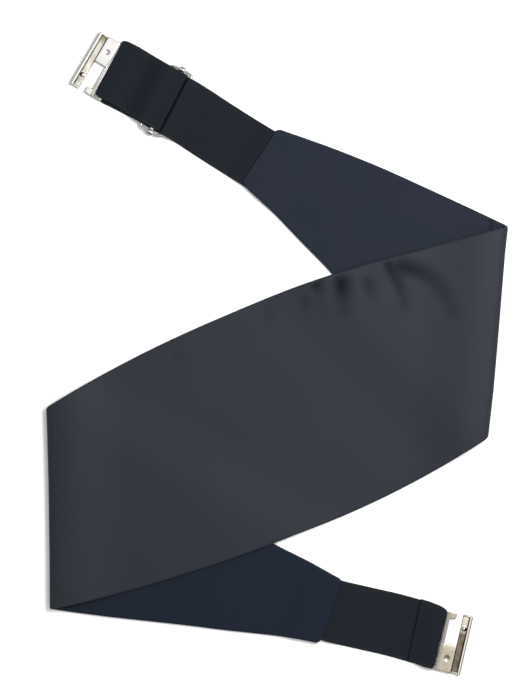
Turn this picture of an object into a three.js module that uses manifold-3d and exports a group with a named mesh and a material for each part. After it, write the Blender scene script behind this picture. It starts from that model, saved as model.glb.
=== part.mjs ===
// A black satin cummerbund laid out on a table: a wide centre panel with both ends folded under it,
// and an elastic strap with a metal clasp on each end. Millimetres, +Z up, resting on Z = 0.
// The origin is at the middle of the bottom of the bounding box.
import * as THREE from "three";
import { mergeVertices } from "three/addons/utils/BufferGeometryUtils.js";
import Module from "manifold-3d";

const wasm = await Module();
wasm.setup();

// Sizes that several pieces share
const gap = 0.3; // left between neighbouring pieces
const satinWall = 1;
const liningWall = 1;
const elasticWall = 1;

// The sash, as cut and before it is folded
const sashLength = 665; // from one end seam to the other
const sashWidth = 141; // across its middle
const endCorner = 3; // radius of the corners at the end seams
const seamDepth = 12; // how deep the elastic is sewn in between the layers
const seamRamp = 16; // over which the layers come together again behind the elastic

// Its two edges: the place along it as a share of half the length, the edges as shares of the width
const outlineRows = [
  { along: -1, upper: 0.142, lower: -0.15 },
  { along: -0.8, upper: 0.21, lower: -0.259 },
  { along: -0.6, upper: 0.3, lower: -0.374 },
  { along: -0.4, upper: 0.388, lower: -0.462 },
  { along: -0.2, upper: 0.446, lower: -0.511 },
  { along: 0, upper: 0.466, lower: -0.534 },
  { along: 0.2, upper: 0.455, lower: -0.515 },
  { along: 0.4, upper: 0.398, lower: -0.442 },
  { along: 0.6, upper: 0.327, lower: -0.339 },
  { along: 0.8, upper: 0.254, lower: -0.234 },
  { along: 1, upper: 0.142, lower: -0.134 },
];

// The two folds: where each crosses the middle line as a share of half the length, the way it faces,
// and its lean in degrees away from straight across
const foldRows = [
  { along: -0.439, side: -1, lean: 21.4 },
  { along: 0.462, side: 1, lean: 28.1 },
];
const foldRadius = 3.2; // of the soft bend, at the middle of the two layers
const foldReach = 34; // over which the panel sinks from the bend onto the tail below
const drapeReach = 42; // over which it sinks from the tail's edge to the table
const panelTurn = 22.6; // degrees, the panel's middle line on the table

// The elastic straps
const elasticWidth = 38;
const settleLength = 12; // over which a strap comes down from the seam to the table
const slideShift = 0.6; // sideways, of the long strap's upper layer on its lower one, at the slide
const claspShift = 2; // and at its clasp
const shortShift = -0.6; // and of the short strap's upper layer
const slideDistance = 65.8; // from the end seam to the middle of the slide
const claspDistance = 42.6; // from the middle of the slide to the long strap's clasp
const shortStrap = 71.6; // from the end seam to the short strap's clasp
const foldBack = 14; // length of the short strap's end that is folded back and sewn
const sewnRun = 0.75; // share of what lies behind the clasp over which that end sinks
const foldCorner = 1.5; // over which the elastic comes back to its full width behind a slot

// The way each strap bends on the table: millimetres from the seam, and degrees from the sash's end
const longTurns = [
  { along: 0, turn: 2.2 },
  { along: 40, turn: 0.4 },
  { along: 56, turn: 6.2 },
];
const shortTurns = [
  { along: 0, turn: 4.5 },
  { along: 10, turn: 8 },
  { along: 30, turn: 8.4 },
  { along: 46, turn: 4.4 },
  { along: 62, turn: 4 },
  { along: 70, turn: 7 },
];
const longClaspTurn = -3; // degrees by which the clasp sits askew on its strap
const shortClaspTurn = 0.2;

// The clasp, stamped from one sheet
const claspWall = 1;
const claspLength = 36.6; // along its bars
const plateRise = 1.4; // underside of the plate above the underside of the rail
const visibleBar = 2.2; // the bar beside the elastic
const slotWidth = 3.6; // that the elastic comes up through
const innerBar = 2.2; // the bar that the elastic is looped round
const armWidth = 1; // on each side of the slot
const slotSide = 0.6; // between the elastic and each end of the slot
const notchWidth = 7.4; // between the bar and the rail
const plateLength = 17;
const railWidth = 6.2;
const railHeight = 3.6;
const lipWidth = 1.7;
const railEnd = 1.8; // height of the walls that close the rail's ends
const stubReach = 3.7; // of the bar's free end into the notch
const stubLength = 3.8;
const dimpleRadius = 1.9;
const dimpleDepth = 0.6;
const detentRadius = 1.75;
const detentHeight = 0.7;
const detentInset = 8.6; // of the dimple and the detent from the clasp's ends

// The slide, a wire frame with a flat bar across it
const slideLength = 15.5; // along the strap, outside
const wireRadius = 0.65;
const slideBulge = 1.6; // of the frame's sides beyond its straight bars, before rounding
const slideBar = 2; // width of the flat bar
const slideBarWall = 1;
const tabLength = 3.2; // of the bar's rolled ends, along the bar
const tabWidth = 3.2;
const tabHeight = 3.1;

// How finely curved things are divided
const acrossSteps = 8;
const bendSteps = 8;
const panelStep = 14;
const cornerSteps = 4;
const strapStep = 7;
const shortestStep = 0.01; // points closer than this are one
const curveSteps = 6;
const wireSides = 8;
const wireSteps = 14;
const roundSides = 16;

const halfLength = sashLength / 2;
const rad = THREE.MathUtils.degToRad;

const material = (color, roughness, metalness) =>
  new THREE.MeshStandardMaterial({ color, roughness, metalness });

// A closed solid through rings of points that all have the same even number of points. An open row of
// rings gets an end face at each end, and a closed one joins its last ring to its first.
function loft(rings, closed) {
  const count = rings[0].length;
  const spots = rings.flat().flatMap((p) => [p.x, p.y, p.z]);
  const index = [];
  const quad = (a, b, c, d) => index.push(a, b, c, a, c, d);
  const last = closed ? rings.length : rings.length - 1;
  for (let i = 0; i < last; i++) {
    const next = (i + 1) % rings.length;
    for (let j = 0; j < count; j++) {
      const k = (j + 1) % count;
      quad(i * count + j, next * count + j, next * count + k, i * count + k);
    }
  }
  if (!closed) {
    const end = (rings.length - 1) * count;
    for (let j = 0; j < count / 2 - 1; j++) {
      const k = count - 1 - j;
      quad(j, j + 1, k - 1, k);
      quad(end + k, end + k - 1, end + j + 1, end + j);
    }
  }
  const made = new THREE.BufferGeometry();
  made.setAttribute("position", new THREE.Float32BufferAttribute(spots, 3));
  made.setIndex(index);
  return signedVolume(made) < 0 ? turnedOut(made) : made;
}

function signedVolume(geometry) {
  const spots = geometry.getAttribute("position");
  const corner = [0, 1, 2].map(() => new THREE.Vector3());
  let total = 0;
  for (let i = 0; i < geometry.index.count; i += 3) {
    corner.forEach((p, n) => p.fromBufferAttribute(spots, geometry.index.getX(i + n)));
    total += corner[0].dot(corner[1].cross(corner[2]));
  }
  return total / 6;
}

function turnedOut(geometry) {
  const turned = Array.from(geometry.index.array).reverse();
  geometry.setIndex(turned);
  return geometry;
}

// Joining and cutting solids
function solidFrom(geometry) {
  const bare = geometry.clone();
  bare.deleteAttribute("normal");
  bare.deleteAttribute("uv");
  const merged = mergeVertices(bare, 1e-4);
  const vertProperties = merged.getAttribute("position").array;
  const triVerts = new Uint32Array(merged.index.array);
  return new wasm.Manifold(new wasm.Mesh({ numProp: 3, vertProperties, triVerts }));
}

function geometryFrom(solid) {
  const mesh = solid.getMesh();
  const made = new THREE.BufferGeometry();
  made.setAttribute("position", new THREE.BufferAttribute(mesh.vertProperties, 3));
  made.setIndex(new THREE.BufferAttribute(mesh.triVerts, 1));
  return made;
}

// A box between two corners
function block(x0, x1, y0, y1, z0, z1) {
  const box = new THREE.BoxGeometry(x1 - x0, y1 - y0, z1 - z0);
  return box.translate((x0 + x1) / 2, (y0 + y1) / 2, (z0 + z1) / 2);
}

// From 1 to 0 as the share goes from 0 to 1, level at both ends
const fade = (share) => {
  const t = THREE.MathUtils.clamp(share, 0, 1);
  return 1 - t * t * (3 - 2 * t);
};

// The flat sash. The smooth curve through each edge's rows is looked up by the place along the sash.
const edgeCurve = (side) =>
  new THREE.SplineCurve(outlineRows.map((row) => new THREE.Vector2(row.along, row[side])));
const edgeCurves = { upper: edgeCurve("upper"), lower: edgeCurve("lower") };

function edgeAt(side, along) {
  const share = THREE.MathUtils.clamp(along / halfLength, -1, 1);
  const first = outlineRows[0].along;
  const last = outlineRows[outlineRows.length - 1].along;
  const width = edgeCurves[side].getPoint((share - first) / (last - first)).y * sashWidth;
  const fromEnd = Math.min(halfLength - Math.abs(along), endCorner);
  const cut = endCorner - Math.sqrt(endCorner ** 2 - (endCorner - Math.max(fromEnd, 0)) ** 2);
  return width - Math.sign(width) * cut;
}

// A fold's line: where its bend starts on the middle line, and the direction across it
const satinFace = gap / 2 + satinWall;
const folds = foldRows.map((row) => {
  const lean = rad(row.lean);
  const back = (foldRadius + satinFace) / Math.cos(lean);
  return {
    side: row.side,
    slope: Math.tan(lean),
    start: row.along * halfLength - row.side * back,
    across: new THREE.Vector2(Math.cos(lean), -Math.sin(lean)).multiplyScalar(row.side),
  };
});
const bendLength = Math.PI * foldRadius;
const bendAlong = (fold) => bendLength / Math.abs(fold.across.x); // on the middle line

const pastFold = (fold, along, across) =>
  (along - fold.start) * fold.across.x + across * fold.across.y;

// Heights of the middle between satin and lining
const tailHeight = satinFace;
const panelOnTable = gap / 2 + liningWall;
const panelOnTail = tailHeight + gap / 2 + liningWall + gap + panelOnTable;
const foldHeight = tailHeight + 2 * foldRadius;

// How high the panel lies: up on the bend, down onto the tail below it, and down to the table past
// the tail's edge
function panelHeight(along, across) {
  const lifts = folds.map((fold) => {
    const past = pastFold(fold, along, across);
    const jump = 2 * (past - bendLength / 2);
    const below = {
      along: along - jump * fold.across.x,
      across: across - jump * fold.across.y,
    };
    const outside = Math.max(
      edgeAt("lower", below.along) - below.across,
      below.across - edgeAt("upper", below.along),
    );
    return (
      (panelOnTail - panelOnTable) * fade(outside / drapeReach) +
      (foldHeight - panelOnTail) * fade(-past / foldReach)
    );
  });
  return panelOnTable + Math.max(...lifts);
}

// Carries a point of the flat sash onto the table. The offset is its distance from the middle of the
// two layers, towards the satin.
function laid(along, across, offset) {
  const spot = new THREE.Vector3(along, across, 0);
  const fold = folds.find((f) => pastFold(f, along, across) > 0);
  if (!fold) {
    spot.z = panelHeight(along, across) + offset;
    return spot;
  }
  const past = pastFold(fold, along, across);
  const angle = Math.min(past / foldRadius, Math.PI);
  const beyond = Math.max(past - bendLength, 0);
  const reach = (foldRadius + offset) * Math.sin(angle) - beyond - past;
  spot.x += reach * fold.across.x;
  spot.y += reach * fold.across.y;
  spot.z = tailHeight + foldRadius + (foldRadius + offset) * Math.cos(angle);
  return spot;
}

// Where the sash is cut across into sections, each by its place on the middle line and its slope
function sections() {
  const [left, right] = folds;
  const leftEnd = left.start - bendAlong(left);
  const rightEnd = right.start + bendAlong(right);
  const places = [];
  const spread = (from, to, steps) => {
    for (let i = 0; i < steps; i++) places.push(from + ((to - from) * i) / steps);
  };
  const stepped = (from, to) => spread(from, to, Math.ceil((to - from) / panelStep));
  const seam = seamDepth + seamRamp;
  spread(-halfLength, -halfLength + endCorner, cornerSteps);
  spread(-halfLength + endCorner, -halfLength + seam, cornerSteps);
  stepped(-halfLength + seam, leftEnd);
  spread(leftEnd, left.start, bendSteps);
  stepped(left.start, right.start);
  spread(right.start, rightEnd, bendSteps);
  stepped(rightEnd, halfLength - seam);
  spread(halfLength - seam, halfLength - endCorner, cornerSteps);
  spread(halfLength - endCorner, halfLength, cornerSteps);
  places.push(halfLength);
  const mix = THREE.MathUtils.mapLinear;
  return places.map((place) => {
    let slope = mix(place, left.start, right.start, left.slope, right.slope);
    if (place < left.start) slope = left.slope;
    if (place > right.start) slope = right.slope;
    if (place < leftEnd) slope = mix(place, leftEnd, -halfLength, left.slope, 0);
    if (place > rightEnd) slope = mix(place, rightEnd, halfLength, right.slope, 0);
    return { place, slope };
  });
}

// Where a section's line meets an edge
function edgeMeets(section, side) {
  let across = edgeAt(side, section.place);
  for (let i = 0; i < 8; i++) across = edgeAt(side, section.place + section.slope * across);
  return across;
}

// How far the lining stands off near an end, to make room for the elastic
function standOff(along) {
  const fromEnd = halfLength - Math.abs(along);
  return (elasticWall + gap) * fade((fromEnd - seamDepth - 2) / (seamRamp - 2));
}

// One layer of the sash, from its inner face to its outer one
function sashLayer(near, far, lifted) {
  const rings = sections().map((section) => {
    const low = edgeMeets(section, "lower");
    const high = edgeMeets(section, "upper");
    const row = (offset) =>
      Array.from({ length: acrossSteps + 1 }, (_, j) => {
        const across = low + ((high - low) * j) / acrossSteps;
        const along = section.place + section.slope * across;
        const away = lifted ? standOff(section.place) : 0;
        return laid(along, across, offset - away);
      });
    return [...row(near), ...row(far).reverse()];
  });
  return loft(rings, false);
}

// The line on the table that a strap follows from an end seam, as steps of a few millimetres
function strapLine(side, turns, longest) {
  const seam = laid(side * halfLength, 0, 0);
  const inner = laid(side * (halfLength - seamDepth), 0, 0);
  const ahead = Math.atan2(seam.y - inner.y, seam.x - inner.x);
  const turnAt = (along) => {
    const n = turns.findIndex((row) => row.along > along);
    if (n < 0) return turns[turns.length - 1].turn;
    if (n === 0) return turns[0].turn;
    const [from, to] = [turns[n - 1], turns[n]];
    return THREE.MathUtils.mapLinear(along, from.along, to.along, from.turn, to.turn);
  };
  const step = 1;
  const spots = [{ x: seam.x, y: seam.y }];
  for (let along = 0; along < longest; along += step) {
    const heading = ahead + rad(turnAt(along + step / 2));
    const last = spots[spots.length - 1];
    spots.push({ x: last.x + step * Math.cos(heading), y: last.y + step * Math.sin(heading) });
  }
  // The place, the heading and a point beside the line, at any distance from the seam
  return (along, beside = 0) => {
    const heading = ahead + rad(along < 0 ? 0 : turnAt(along));
    const n = THREE.MathUtils.clamp(Math.floor(along / step), 0, spots.length - 1);
    const rest = along - n * step;
    return {
      heading,
      x: spots[n].x + rest * Math.cos(heading) - beside * Math.sin(heading),
      y: spots[n].y + rest * Math.sin(heading) + beside * Math.cos(heading),
    };
  };
}

// A strap's course seen from its side, as a path of distance along it and height
const strapLow = elasticWall / 2; // its middle when it lies on the table
const strapDouble = strapLow + elasticWall + gap; // when it lies on its own lower layer
const strapInSeam = satinWall + gap + elasticWall / 2;
const strapOverBar = plateRise + claspWall + gap + elasticWall / 2;
const claspLoop = (strapOverBar - strapLow) / 2; // radius of the loop round the clasp's inner bar

// The frame of the slide lies above two layers of strap
const frameHeight = 2 * (elasticWall + gap) + slideBarWall / 2;
const barReach = slideLength / 2 - wireRadius; // from the slide's middle to its outer bars
const wrap = wireRadius + gap + elasticWall / 2; // radius of the strap round an outer bar
const rise = frameHeight + wrap; // where the strap passes over an outer bar
const overSlide = frameHeight + slideBarWall / 2 + gap + elasticWall / 2;
const slideLoop = (overSlide - strapDouble) / 2; // radius of the loop round the flat bar
const turnUp = 1.4; // radius where the strap turns up beside an outer bar
const barRun = 12; // over which the strap rises to an outer bar from the sash

// Between the clasp and the slide the layers come down from both, each over a share of the way
const claspBack = visibleBar + slotWidth + innerBar; // from the clasp's middle to its back edge
const layerRuns = { overClasp: 0.42, lowerAtSlide: 0.5, upperAtSlide: 0.56 };

// A rise or fall that is level at both ends
function ease(path, along, height) {
  const from = path.currentPoint;
  const half = (from.x + along) / 2;
  path.bezierCurveTo(half, from.y, half, height, along, height);
}

// The points of a path, with its long straight stretches divided
function pathPoints(path) {
  const points = [];
  path.curves.forEach((curve) => {
    const straight = curve.isLineCurve;
    const count = straight ? Math.max(1, Math.ceil(curve.getLength() / strapStep)) : curveSteps;
    for (let i = 0; i < count; i++) points.push(curve.getPoint(i / count));
  });
  points.push(path.curves[path.curves.length - 1].getPoint(1));
  return points.filter((p, i) => i === 0 || p.distanceTo(points[i - 1]) > shortestStep);
}

// Out of the seam and down to the table
function leaveSeam(path) {
  path.moveTo(-seamDepth, strapInSeam);
  path.lineTo(1, strapInSeam);
  ease(path, settleLength, strapLow);
}

// Under the clasp's inner bar and round it, then back over it and down onto the lower layer
function roundClasp(path, loopAt, pastBar, run) {
  path.lineTo(loopAt, strapLow);
  path.absarc(loopAt, strapLow + claspLoop, claspLoop, -Math.PI / 2, Math.PI / 2, false);
  path.lineTo(loopAt - foldCorner, strapOverBar);
  path.lineTo(pastBar, strapOverBar);
  ease(path, pastBar - run, strapDouble);
}

// Over an outer bar, down under the flat bar's loop, and up over the other outer bar
function throughSlide(path, middle, run) {
  const first = middle - barReach;
  const second = middle + barReach;
  path.lineTo(first - barRun, strapLow);
  ease(path, first, rise);
  path.absarc(first, frameHeight, wrap, Math.PI / 2, 0, true);
  path.lineTo(first + wrap, strapLow + turnUp);
  path.absarc(first + wrap + turnUp, strapLow + turnUp, turnUp, Math.PI, 1.5 * Math.PI, false);
  path.lineTo(second - wrap - turnUp, strapLow);
  path.absarc(second - wrap - turnUp, strapLow + turnUp, turnUp, -Math.PI / 2, 0, false);
  path.lineTo(second - wrap, frameHeight);
  path.absarc(second, frameHeight, wrap, Math.PI, Math.PI / 2, true);
  ease(path, second + run, strapLow);
}

// The upper layer: over the second outer bar, round the flat bar, and under it
function endOnSlide(path, middle, run) {
  const second = middle + barReach;
  const loopAt = middle - barReach + wrap + elasticWall + gap + slideLoop;
  path.lineTo(second + run, strapDouble);
  ease(path, second, rise + elasticWall + gap);
  ease(path, middle + slideBar, overSlide);
  path.lineTo(loopAt, overSlide);
  path.absarc(loopAt, frameHeight - (frameHeight - strapDouble - slideLoop), slideLoop,
    Math.PI / 2, 1.5 * Math.PI, false);
  path.lineTo(middle + slideBar, strapDouble);
}

// The elastic swept along its course. It is drawn in where it goes through the clasp's slot, and its
// upper layer lies a little to the side of its lower one.
const slotLength = claspLength - 2 * armWidth;
const inSlot = slotLength - 2 * slotSide;

function strapSolid(points, line, loopAt, shiftAt) {
  const half = elasticWall / 2;
  let upper = false;
  const rings = points.map((p, i) => {
    const before = points[Math.max(i - 1, 0)];
    const after = points[Math.min(i + 1, points.length - 1)];
    const along = new THREE.Vector2().subVectors(after, before).normalize();
    const normal = new THREE.Vector2(-along.y, along.x).multiplyScalar(half);
    upper = upper || (p.x > loopAt - elasticWall && along.x <= 0);
    const shift = upper && p.x < loopAt - elasticWall ? shiftAt(p.x) : 0;
    const beforeSlot = loopAt + claspLoop / 2 - p.x;
    const width = elasticWidth - (elasticWidth - inSlot) * fade(beforeSlot / foldCorner);
    const corner = (way, side) => {
      const spot = line(p.x + way * normal.x, (side * width) / 2 - shift);
      return new THREE.Vector3(spot.x, spot.y, p.y + way * normal.y);
    };
    return [corner(1, 1), corner(1, -1), corner(-1, -1), corner(-1, 1)];
  });
  return loft(rings, false);
}

// The clasp, seen from above with its rail outwards (+X) and the bars along Y
function claspGeometry() {
  const halfClasp = claspLength / 2;
  const notchEnd = -halfClasp + plateLength;
  const plateTop = plateRise + claspWall;
  const slotOut = -visibleBar;
  const slotIn = slotOut - slotWidth;
  const back = -claspBack;
  const railIn = notchWidth;
  const railOut = notchWidth + railWidth;

  const outline = new THREE.Shape();
  outline.moveTo(back, -halfClasp);
  outline.lineTo(railIn + claspWall, -halfClasp);
  outline.lineTo(railIn + claspWall, notchEnd);
  outline.lineTo(0, notchEnd);
  outline.lineTo(0, halfClasp - stubLength);
  outline.lineTo(stubReach, halfClasp - stubLength);
  outline.lineTo(stubReach, halfClasp);
  outline.lineTo(back, halfClasp);
  outline.closePath();
  const slot = new THREE.Path();
  slot.moveTo(slotIn, -slotLength / 2);
  slot.lineTo(slotIn, slotLength / 2);
  slot.lineTo(slotOut, slotLength / 2);
  slot.lineTo(slotOut, -slotLength / 2);
  slot.closePath();
  outline.holes.push(slot);
  const sheet = new THREE.ExtrudeGeometry(outline, { depth: claspWall, bevelEnabled: false });
  sheet.translate(0, 0, plateRise);

  const lipIn = railOut - lipWidth;
  const floor = block(railIn, railOut, -halfClasp, halfClasp, 0, claspWall);
  const innerWall = block(railIn, railIn + claspWall, -halfClasp, notchEnd, 0, plateTop);
  const outerWall = block(railOut - claspWall, railOut, -halfClasp, halfClasp, 0, railHeight);
  const lip = block(lipIn, railOut, -halfClasp, halfClasp, railHeight - claspWall, railHeight);
  const nearEnd = block(railIn, railOut, -halfClasp, -halfClasp + claspWall, 0, railEnd);
  const farEnd = block(railIn, railOut, halfClasp - claspWall, halfClasp, 0, railEnd);
  const detentAt = halfClasp - detentInset;
  const detent = new THREE.CylinderGeometry(
    detentRadius / 2, detentRadius, detentHeight + claspWall / 2, roundSides);
  detent.rotateX(Math.PI / 2);
  detent.translate((railIn + lipIn) / 2, detentAt, claspWall / 2 + (detentHeight + claspWall / 2) / 2);
  const dimple = new THREE.CylinderGeometry(dimpleRadius, dimpleRadius, claspWall, roundSides);
  dimple.rotateX(Math.PI / 2);
  dimple.translate(notchWidth / 2, -detentAt, plateTop - dimpleDepth + claspWall / 2);

  let clasp = solidFrom(sheet);
  [floor, innerWall, outerWall, lip, nearEnd, farEnd, detent].forEach((piece) => {
    clasp = clasp.add(solidFrom(piece));
  });
  return geometryFrom(clasp.subtract(solidFrom(dimple)));
}

// The slide's frame, a wire bent into a long loop, in the slide's own frame with the strap along X
const barHalf = elasticWidth / 2 + slideShift + 2 * gap; // half of an outer bar's straight length

function wireRing(radius) {
  const ring = new THREE.Path();
  ring.moveTo(barReach, -barHalf);
  ring.lineTo(barReach, barHalf);
  ring.bezierCurveTo(barReach, barHalf + slideBulge, -barReach, barHalf + slideBulge,
    -barReach, barHalf);
  ring.lineTo(-barReach, -barHalf);
  ring.bezierCurveTo(-barReach, -barHalf - slideBulge, barReach, -barHalf - slideBulge,
    barReach, -barHalf);
  const points = [];
  ring.curves.forEach((curve) => {
    const count = curve.isLineCurve ? 1 : wireSteps;
    for (let i = 0; i < count; i++) points.push(curve.getPoint(i / count));
  });
  const rings = points.map((p, i) => {
    const before = points[(i + points.length - 1) % points.length];
    const after = points[(i + 1) % points.length];
    const along = new THREE.Vector2().subVectors(after, before).normalize();
    return Array.from({ length: wireSides }, (_, n) => {
      const angle = (2 * Math.PI * (n + 0.5)) / wireSides;
      const out = radius * Math.cos(angle);
      return new THREE.Vector3(
        p.x + out * along.y, p.y - out * along.x, frameHeight + radius * Math.sin(angle));
    });
  });
  return loft(rings, true);
}

// The flat bar across the frame, with its ends rolled round the wire
function slideBarGeometry() {
  const wireAt = barHalf + 0.75 * slideBulge; // the frame's side, where the bar meets it
  const low = frameHeight - slideBarWall / 2;
  const flat = block(-slideBar / 2, slideBar / 2, -wireAt, wireAt, low, low + slideBarWall);
  let bar = solidFrom(flat);
  [-1, 1].forEach((side) => {
    const inner = side * wireAt - tabLength / 2;
    const tab = block(-tabWidth / 2, tabWidth / 2, inner, inner + tabLength,
      frameHeight - tabHeight / 2, frameHeight + tabHeight / 2);
    bar = bar.add(solidFrom(tab));
  });
  return geometryFrom(bar.subtract(solidFrom(wireRing(wireRadius + gap))));
}

// The pieces, laid out on the table
const cummerbund = new THREE.Group();
const laidOut = new THREE.Group();
cummerbund.add(laidOut);

const satin = material(0x3d4046, 0.55, 0);
const liningCloth = material(0x262b38, 0.85, 0);
const elastic = material(0x22262c, 0.9, 0);
const nickel = material(0xd8d4c8, 0.3, 1);
const steel = material(0xc4c4c2, 0.3, 1);

function addPiece(name, geometry, look, spot) {
  const piece = new THREE.Mesh(geometry, look);
  piece.name = name;
  if (spot) {
    piece.position.set(spot.x, spot.y, 0);
    piece.rotation.z = spot.heading;
  }
  laidOut.add(piece);
}

addPiece("satin_shell", sashLayer(gap / 2, satinFace, false), satin);
addPiece("lining", sashLayer(-gap / 2, -gap / 2 - liningWall, true), liningCloth);

// A clasp's own middle is the outer edge of its visible bar, and the strap's loop turns just inside it
const loopBack = visibleBar + gap + elasticWall / 2 + claspLoop;
const askew = (turn) => (slotLength / 2) * Math.abs(Math.sin(rad(turn)));

const longClaspAt = slideDistance + claspDistance;
const longLoopAt = longClaspAt - loopBack - askew(longClaspTurn);
const longLine = strapLine(1, longTurns, longClaspAt);
const longPastBar = longClaspAt - claspBack - askew(longClaspTurn) - gap;
const between = longPastBar - slideDistance - barReach; // from the slide's bar to the clasp's back
const longPath = new THREE.Path();
leaveSeam(longPath);
throughSlide(longPath, slideDistance, layerRuns.lowerAtSlide * between);
roundClasp(longPath, longLoopAt, longPastBar, layerRuns.overClasp * between);
endOnSlide(longPath, slideDistance, layerRuns.upperAtSlide * between);
const longShift = (along) =>
  claspShift + (slideShift - claspShift) * fade((along - slideDistance - barReach) / between);
const longStrap = strapSolid(pathPoints(longPath), longLine, longLoopAt, longShift);
addPiece("elastic_long", longStrap, elastic);

const shortLoopAt = shortStrap - loopBack - askew(shortClaspTurn);
const shortPastBar = shortStrap - claspBack - askew(shortClaspTurn) - gap;
const cutAt = shortLoopAt - foldBack;
const shortLine = strapLine(-1, shortTurns, shortStrap);
const shortPath = new THREE.Path();
leaveSeam(shortPath);
roundClasp(shortPath, shortLoopAt, shortPastBar, sewnRun * (shortPastBar - cutAt));
shortPath.lineTo(cutAt, strapDouble);
const shortSolid = strapSolid(pathPoints(shortPath), shortLine, shortLoopAt, () => shortShift);
addPiece("elastic_short", shortSolid, elastic);

// The slide across the long strap
const slideSpot = longLine(slideDistance);
addPiece("slide_frame", wireRing(wireRadius), steel, slideSpot);
addPiece("slide_bar", slideBarGeometry(), steel, slideSpot);

// The clasps
const longClaspSpot = longLine(longClaspAt);
longClaspSpot.heading += rad(longClaspTurn);
addPiece("clasp_long", claspGeometry(), nickel, longClaspSpot);
const shortClaspSpot = shortLine(shortStrap);
shortClaspSpot.heading += rad(shortClaspTurn);
addPiece("clasp_short", claspGeometry(), nickel, shortClaspSpot);

// The origin goes to the middle of the bottom of the whole
laidOut.rotation.z = rad(panelTurn);
laidOut.updateMatrixWorld(true);
const bounds = new THREE.Box3().setFromObject(laidOut, true);
const middle = bounds.getCenter(new THREE.Vector3());
laidOut.position.set(-middle.x, -middle.y, -bounds.min.z);

export default cummerbund;
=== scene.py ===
import math

import bmesh
import bpy
from mathutils import Matrix, Vector, noise


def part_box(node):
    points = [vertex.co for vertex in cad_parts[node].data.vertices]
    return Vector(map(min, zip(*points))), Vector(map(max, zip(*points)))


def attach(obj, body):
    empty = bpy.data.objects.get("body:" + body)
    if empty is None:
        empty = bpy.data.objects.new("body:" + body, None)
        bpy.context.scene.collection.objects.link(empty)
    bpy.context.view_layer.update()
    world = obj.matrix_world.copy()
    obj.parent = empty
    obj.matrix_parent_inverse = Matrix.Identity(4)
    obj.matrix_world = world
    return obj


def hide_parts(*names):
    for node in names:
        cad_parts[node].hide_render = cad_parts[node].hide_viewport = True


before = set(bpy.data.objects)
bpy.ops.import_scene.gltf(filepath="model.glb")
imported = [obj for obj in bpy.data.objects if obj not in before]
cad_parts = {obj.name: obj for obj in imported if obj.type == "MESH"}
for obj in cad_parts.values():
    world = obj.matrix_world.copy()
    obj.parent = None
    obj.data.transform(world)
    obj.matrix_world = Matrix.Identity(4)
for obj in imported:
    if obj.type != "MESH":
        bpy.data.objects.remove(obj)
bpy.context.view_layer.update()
mm = 0.001  # lengths below are in millimetres until a mesh is made
print("frame loaded:", ", ".join(sorted(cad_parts)))


def mix(low, high, share):
    return low + (high - low) * share


def fade(share):
    # From 1 to 0 as the share goes from 0 to 1, level at both ends
    t = min(max(share, 0.0), 1.0)
    return 1 - t * t * (3 - 2 * t)


def rounded(share):
    # A quarter circle's height, from 0 to 1 as the share goes from 0 to 1
    return math.sqrt(1 - (1 - share) ** 2)


def ramp(rows, place):
    # Straight lines through (place, value) rows
    if place <= rows[0][0]:
        return rows[0][1]
    for (a, low), (b, high) in zip(rows, rows[1:]):
        if place <= b:
            return mix(low, high, (place - a) / (b - a))
    return rows[-1][1]


def nearest(x, y, course):
    # How far a point lies from a course, and how far along it, as a share
    best = (1e9, 0)
    for n, ((ax, ay), (bx, by)) in enumerate(zip(course, course[1:])):
        dx, dy = bx - ax, by - ay
        t = min(max(((x - ax) * dx + (y - ay) * dy) / (dx * dx + dy * dy), 0), 1)
        best = min(best, (math.hypot(x - ax - t * dx, y - ay - t * dy), (n + t) / (len(course) - 1)))
    return best


def crossRows(width, rows, steps):
    # Places across a cloth, close together at its two rolled edges
    inner = [mix(rows[-1], width - rows[-1], n / steps) for n in range(1, steps)]
    return rows + inner + [width - d for d in reversed(rows)]


def meshPiece(name, points, faces):
    # A new object from points in millimetres, with its faces turned outwards
    mesh = bpy.data.meshes.new(name)
    mesh.from_pydata([p * mm for p in points], [], faces)
    outward = bmesh.new()
    outward.from_mesh(mesh)
    bmesh.ops.recalc_face_normals(outward, faces=outward.faces)
    outward.to_mesh(mesh)
    outward.free()
    mesh.shade_smooth()
    piece = bpy.data.objects.new(name, mesh)
    bpy.context.collection.objects.link(piece)
    return piece


def sheetMesh(name, top, bottom, spots):
    # A closed sheet from two grids of points. Spots are each grid point's place on the flat cloth.
    rows, columns = len(top), len(top[0])
    count = rows * columns
    faces = []
    for i in range(rows - 1):
        for j in range(columns - 1):
            a, b = i * columns + j, (i + 1) * columns + j
            faces.append((a, b, b + 1, a + 1))
            faces.append((count + a, count + a + 1, count + b + 1, count + b))
    rim = list(range(columns))
    rim += [i * columns + columns - 1 for i in range(1, rows)]
    rim += [(rows - 1) * columns + j for j in range(columns - 2, -1, -1)]
    rim += [i * columns for i in range(rows - 2, 0, -1)]
    for a, b in zip(rim, rim[1:] + rim[:1]):
        faces.append((a, b, count + b, count + a))
    piece = meshPiece(name, [p for row in top + bottom for p in row], faces)
    layer = piece.data.uv_layers.new(name="flatCloth")
    flat = [uv for row in spots for uv in row]
    for loop in piece.data.loops:
        u, v = flat[loop.vertex_index % count]
        layer.data[loop.index].uv = (u * mm, v * mm)
    return piece


def deselectAll():
    if bpy.context.mode != "OBJECT":
        bpy.ops.object.mode_set(mode="OBJECT")
    bpy.ops.object.select_all(action="DESELECT")


def smoothByAngle(piece, degrees):
    deselectAll()
    piece.select_set(True)
    bpy.context.view_layer.objects.active = piece
    bpy.ops.object.shade_smooth_by_angle(angle=math.radians(degrees))


def finishWith(piece, name, kind, **fields):
    # Adds a modifier with its settings and applies it
    modifier = piece.modifiers.new(name, kind)
    for field, value in fields.items():
        setattr(modifier, field, value)
    bpy.ops.object.modifier_apply(modifier=name)


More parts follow.
